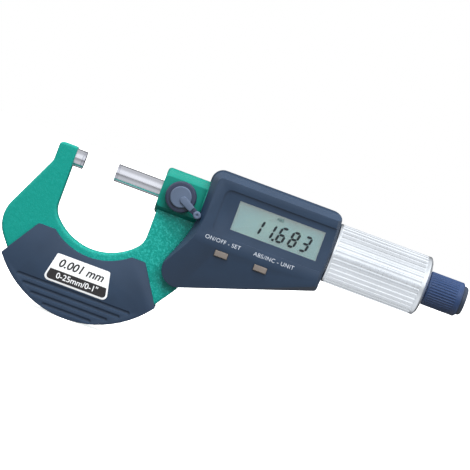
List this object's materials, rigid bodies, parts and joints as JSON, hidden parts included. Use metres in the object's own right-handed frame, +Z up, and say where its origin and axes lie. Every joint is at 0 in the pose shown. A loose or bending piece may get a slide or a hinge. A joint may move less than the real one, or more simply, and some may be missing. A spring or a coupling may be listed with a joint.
{
  "type": "outside micrometer",
  "caption": "Digital outside micrometer: C-shaped frame with anvil, sliding spindle, lock lever, display housing, fluted thimble and ratchet stop.",
  "frame": {"origin": "centre of the anvil's measuring face, the zero of the measurement", "axes": "+X along the measuring axis from the anvil towards the spindle, thimble and ratchet; +Z up, with the bow of the frame below the axis; -Y out of the display, towards the reader"},
  "size_m": [0.1622, 0.0235, 0.068],
  "materials": {
    "frame_paint": "thick hammered teal-green enamel, smooth on the boss",
    "ground_steel": "ground and lapped, bright",
    "dark_steel": "blackened or plain turned steel",
    "carbide": "lapped hard metal",
    "bronze": "plain bearing bronze",
    "contact_brass": "bright spring brass",
    "seal_rubber": "black nitrile",
    "slate_plastic": "fine moulded texture, slate blue",
    "label_white": "printed white foil with a black band",
    "window_clear": "clear flush lens",
    "lcd_glass": "grey-green reflective display",
    "board": "solder-masked laminate",
    "cell_steel": "plated can",
    "satin_aluminium": "satin anodised, fluted",
    "navy_plastic": "dark blue, finely fluted",
    "black_plastic": "black, slightly glossy",
    "lever_grey": "dark plum-grey moulding",
    "button_tan": "soft beige moulding"
  },
  "bodies": {
    "frame_body": {"adjusting_nut": "dark_steel", "anvil": "ground_steel", "anvil_tip": "carbide", "barrel": "ground_steel", "battery_cell": "cell_steel", "battery_contact_neg": "contact_brass", "battery_contact_pos": "contact_brass", "bearing_ring_inner": "dark_steel", "bearing_ring_outer": "dark_steel", "circuit_board": "board", "display_window": "window_clear", "frame": "frame_paint", "front_insulating_plate": "slate_plastic", "guide_sleeve": "ground_steel", "housing_back": "slate_plastic", "housing_front": "slate_plastic", "housing_gasket_bottom": "seal_rubber", "housing_gasket_top": "seal_rubber", "housing_screw_1": "dark_steel", "housing_screw_2": "dark_steel", "housing_screw_3": "dark_steel", "housing_screw_4": "dark_steel", "lcd_connector": "seal_rubber", "lcd_panel": "lcd_glass", "lock_shoe": "contact_brass", "plate_screw_1": "dark_steel", "plate_screw_2": "dark_steel", "range_label": "label_white", "rear_insulating_plate": "slate_plastic", "screw_nut": "bronze", "spindle_wiper": "seal_rubber", "stator_disc": "board", "switch_dome_on_off": "contact_brass", "switch_dome_unit": "contact_brass"},
    "thimble_body": {"thimble": "satin_aluminium", "thimble_bush": "bronze", "drive_tube": "ground_steel", "rotor_carrier": "satin_aluminium", "rotor_disc": "board", "ratchet_screw": "dark_steel", "ratchet_ring": "dark_steel"},
    "ratchet_body": {"ratchet_knob": "navy_plastic", "ratchet_slider": "dark_steel", "ratchet_spring": "dark_steel", "ratchet_cap": "black_plastic"},
    "spindle_body": {"spindle": "ground_steel", "spindle_tip": "carbide"},
    "lock_body": {"lock_lever": "lever_grey", "lock_screw": "dark_steel"},
    "on_off_body": {"button_on_off": "button_tan"},
    "unit_body": {"button_unit": "button_tan"},
    "seal_body": {"battery_o_ring": "seal_rubber"},
    "cover_body": {"battery_cover": "slate_plastic"}
  },
  "joints": [
    {"name": "thimble_turn", "type": "hinge", "parent": "frame_body", "child": "thimble_body", "pos_m": [0.1, 0, 0], "axis": [1, 0, 0], "range_deg": [-8409, 9583]},
    {"name": "spindle_feed", "type": "slide", "parent": "thimble_body", "child": "spindle_body", "axis": [1, 0, 0], "range_m": [-0.01168, 0.01331]},
    {"name": "ratchet_turn", "type": "hinge", "parent": "thimble_body", "child": "ratchet_body", "pos_m": [0.1335, 0, 0], "axis": [1, 0, 0], "continuous": true},
    {"name": "lock_turn", "type": "hinge", "parent": "frame_body", "child": "lock_body", "pos_m": [0.036, -0.009, 0], "axis": [0, 1, 0], "range_deg": [0, 60]},
    {"name": "on_off_press", "type": "slide", "parent": "frame_body", "child": "on_off_body", "axis": [0, 1, 0], "range_m": [0, 0.00035], "stiffness_N_per_m": 800, "springref_m": -0.0006},
    {"name": "unit_press", "type": "slide", "parent": "frame_body", "child": "unit_body", "axis": [0, 1, 0], "range_m": [0, 0.00035], "stiffness_N_per_m": 800, "springref_m": -0.0006},
    {"name": "cover_lift", "type": "slide", "parent": "frame_body", "child": "seal_body", "axis": [0, 1, 0], "range_m": [0, 0.012]},
    {"name": "cover_turn", "type": "hinge", "parent": "seal_body", "child": "cover_body", "pos_m": [0.0645, 0.0103, -0.0142], "axis": [0, 1, 0], "range_deg": [0, 90]}
  ],
  "couplings": [
    {"joint": "spindle_feed", "follows": "thimble_turn", "m_per_rad": 0.000079577}
  ]
}
